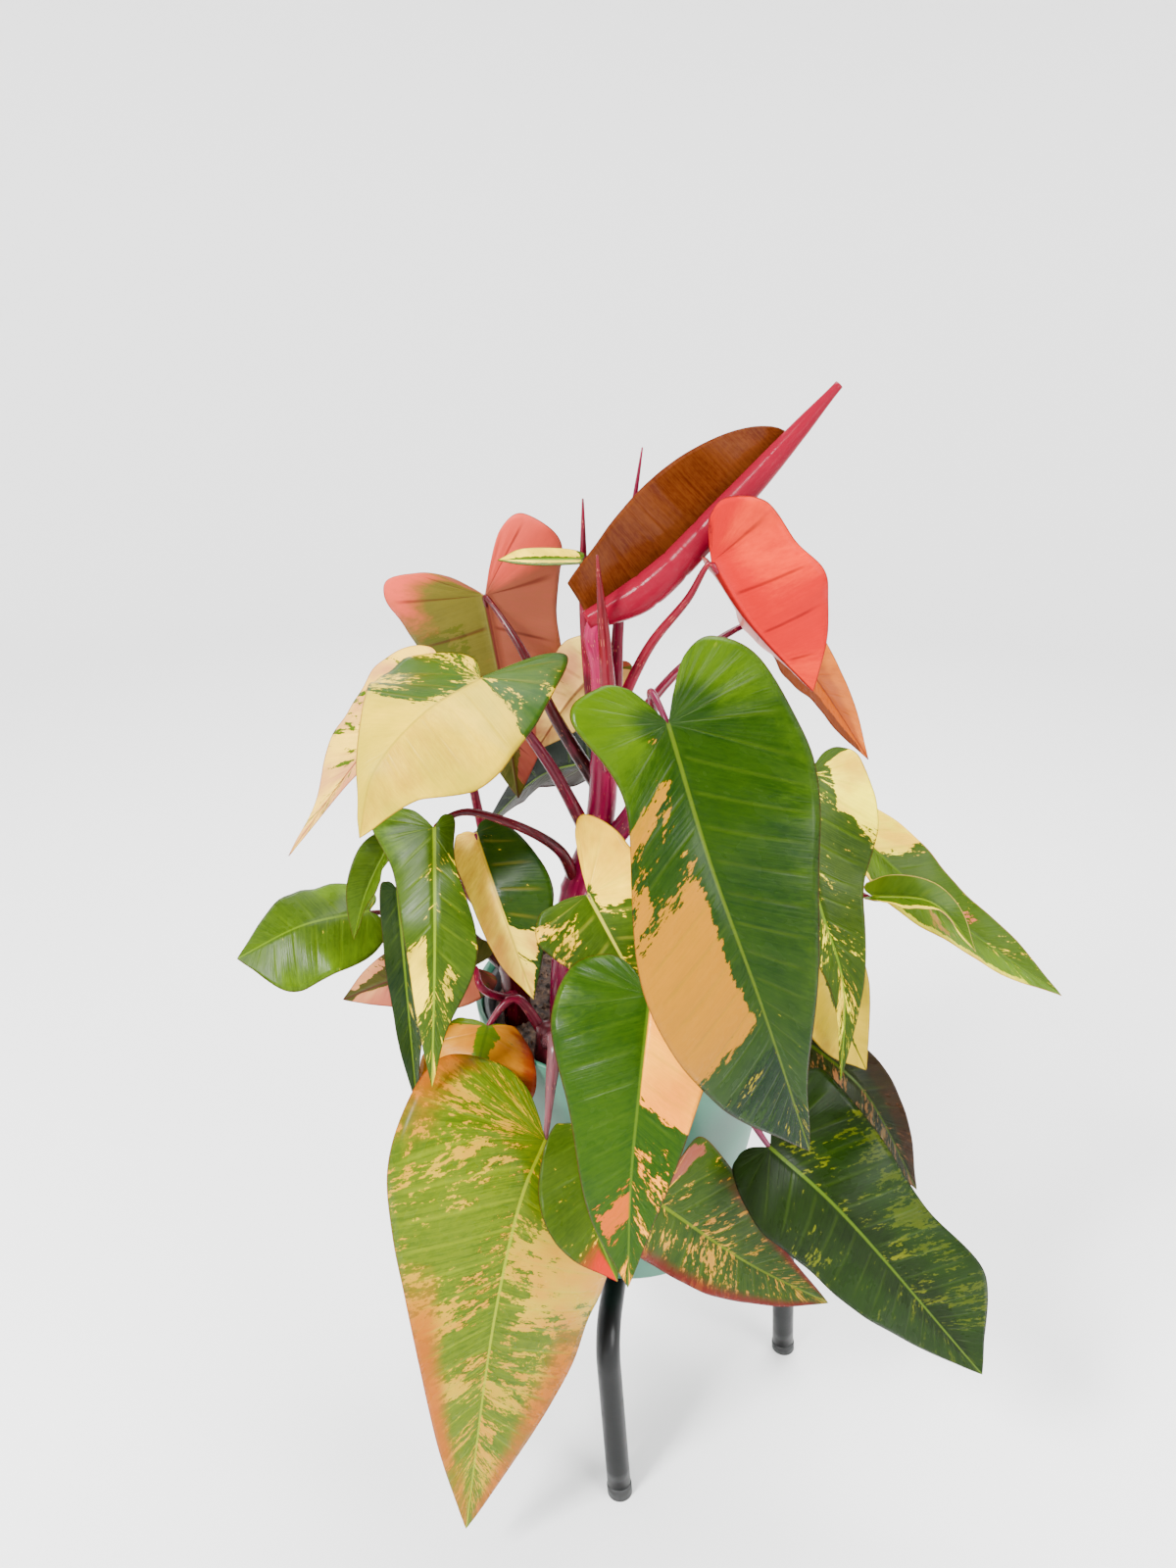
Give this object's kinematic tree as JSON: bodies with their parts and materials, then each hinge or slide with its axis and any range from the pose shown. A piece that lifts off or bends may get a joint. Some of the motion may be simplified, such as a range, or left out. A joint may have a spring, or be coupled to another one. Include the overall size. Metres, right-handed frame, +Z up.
{
  "type": "potted philodendron",
  "caption": "Variegated philodendron with long heart-shaped leaves on maroon stalks, in a tapered planter held by a four-legged tube stand.",
  "frame": {"origin": "middle of the footprint of the whole, on the floor", "axes": "+Z up, -Y towards the front, where the largest leaves hang"},
  "size_m": [0.5304, 0.3392, 0.7187],
  "materials": {
    "leaf": "waxy leaf blade, green with cream, peach and orange",
    "stem": "smooth maroon stalk",
    "soil": "dark potting soil",
    "nursery_pot": "matte black",
    "planter": "satin mint glaze",
    "stand": "glossy black",
    "foot_cap": "matte black"
  },
  "bodies": {
    "root": {"leaf_coral": "leaf", "leaf_copper": "leaf", "leaf_olive": "leaf", "leaf_sliver": "leaf", "leaf_yellow": "leaf", "leaf_pink": "leaf", "leaf_pale": "leaf", "leaf_back": "leaf", "leaf_drooping": "leaf", "leaf_narrow": "leaf", "leaf_small": "leaf", "leaf_far_left": "leaf", "leaf_grey": "leaf", "leaf_cream_fold": "leaf", "leaf_centre": "leaf", "leaf_front": "leaf", "leaf_right": "leaf", "leaf_right_yellow": "leaf", "leaf_right_long": "leaf", "leaf_right_curled": "leaf", "leaf_low_right": "leaf", "leaf_behind_right": "leaf", "leaf_low_centre": "leaf", "leaf_front_centre": "leaf", "leaf_under_left": "leaf", "leaf_low_left": "leaf", "leaf_orange": "leaf", "leaf_unfurling": "leaf", "stem_main": "stem", "stem_left": "stem", "stem_right": "stem", "stem_front": "stem", "stem_low_left": "stem", "planter": "planter", "nursery_pot": "nursery_pot", "soil": "soil", "stand": "stand", "foot_cap_front": "foot_cap", "foot_cap_right": "foot_cap", "foot_cap_back": "foot_cap", "foot_cap_left": "foot_cap"}
  },
  "joints": []
}
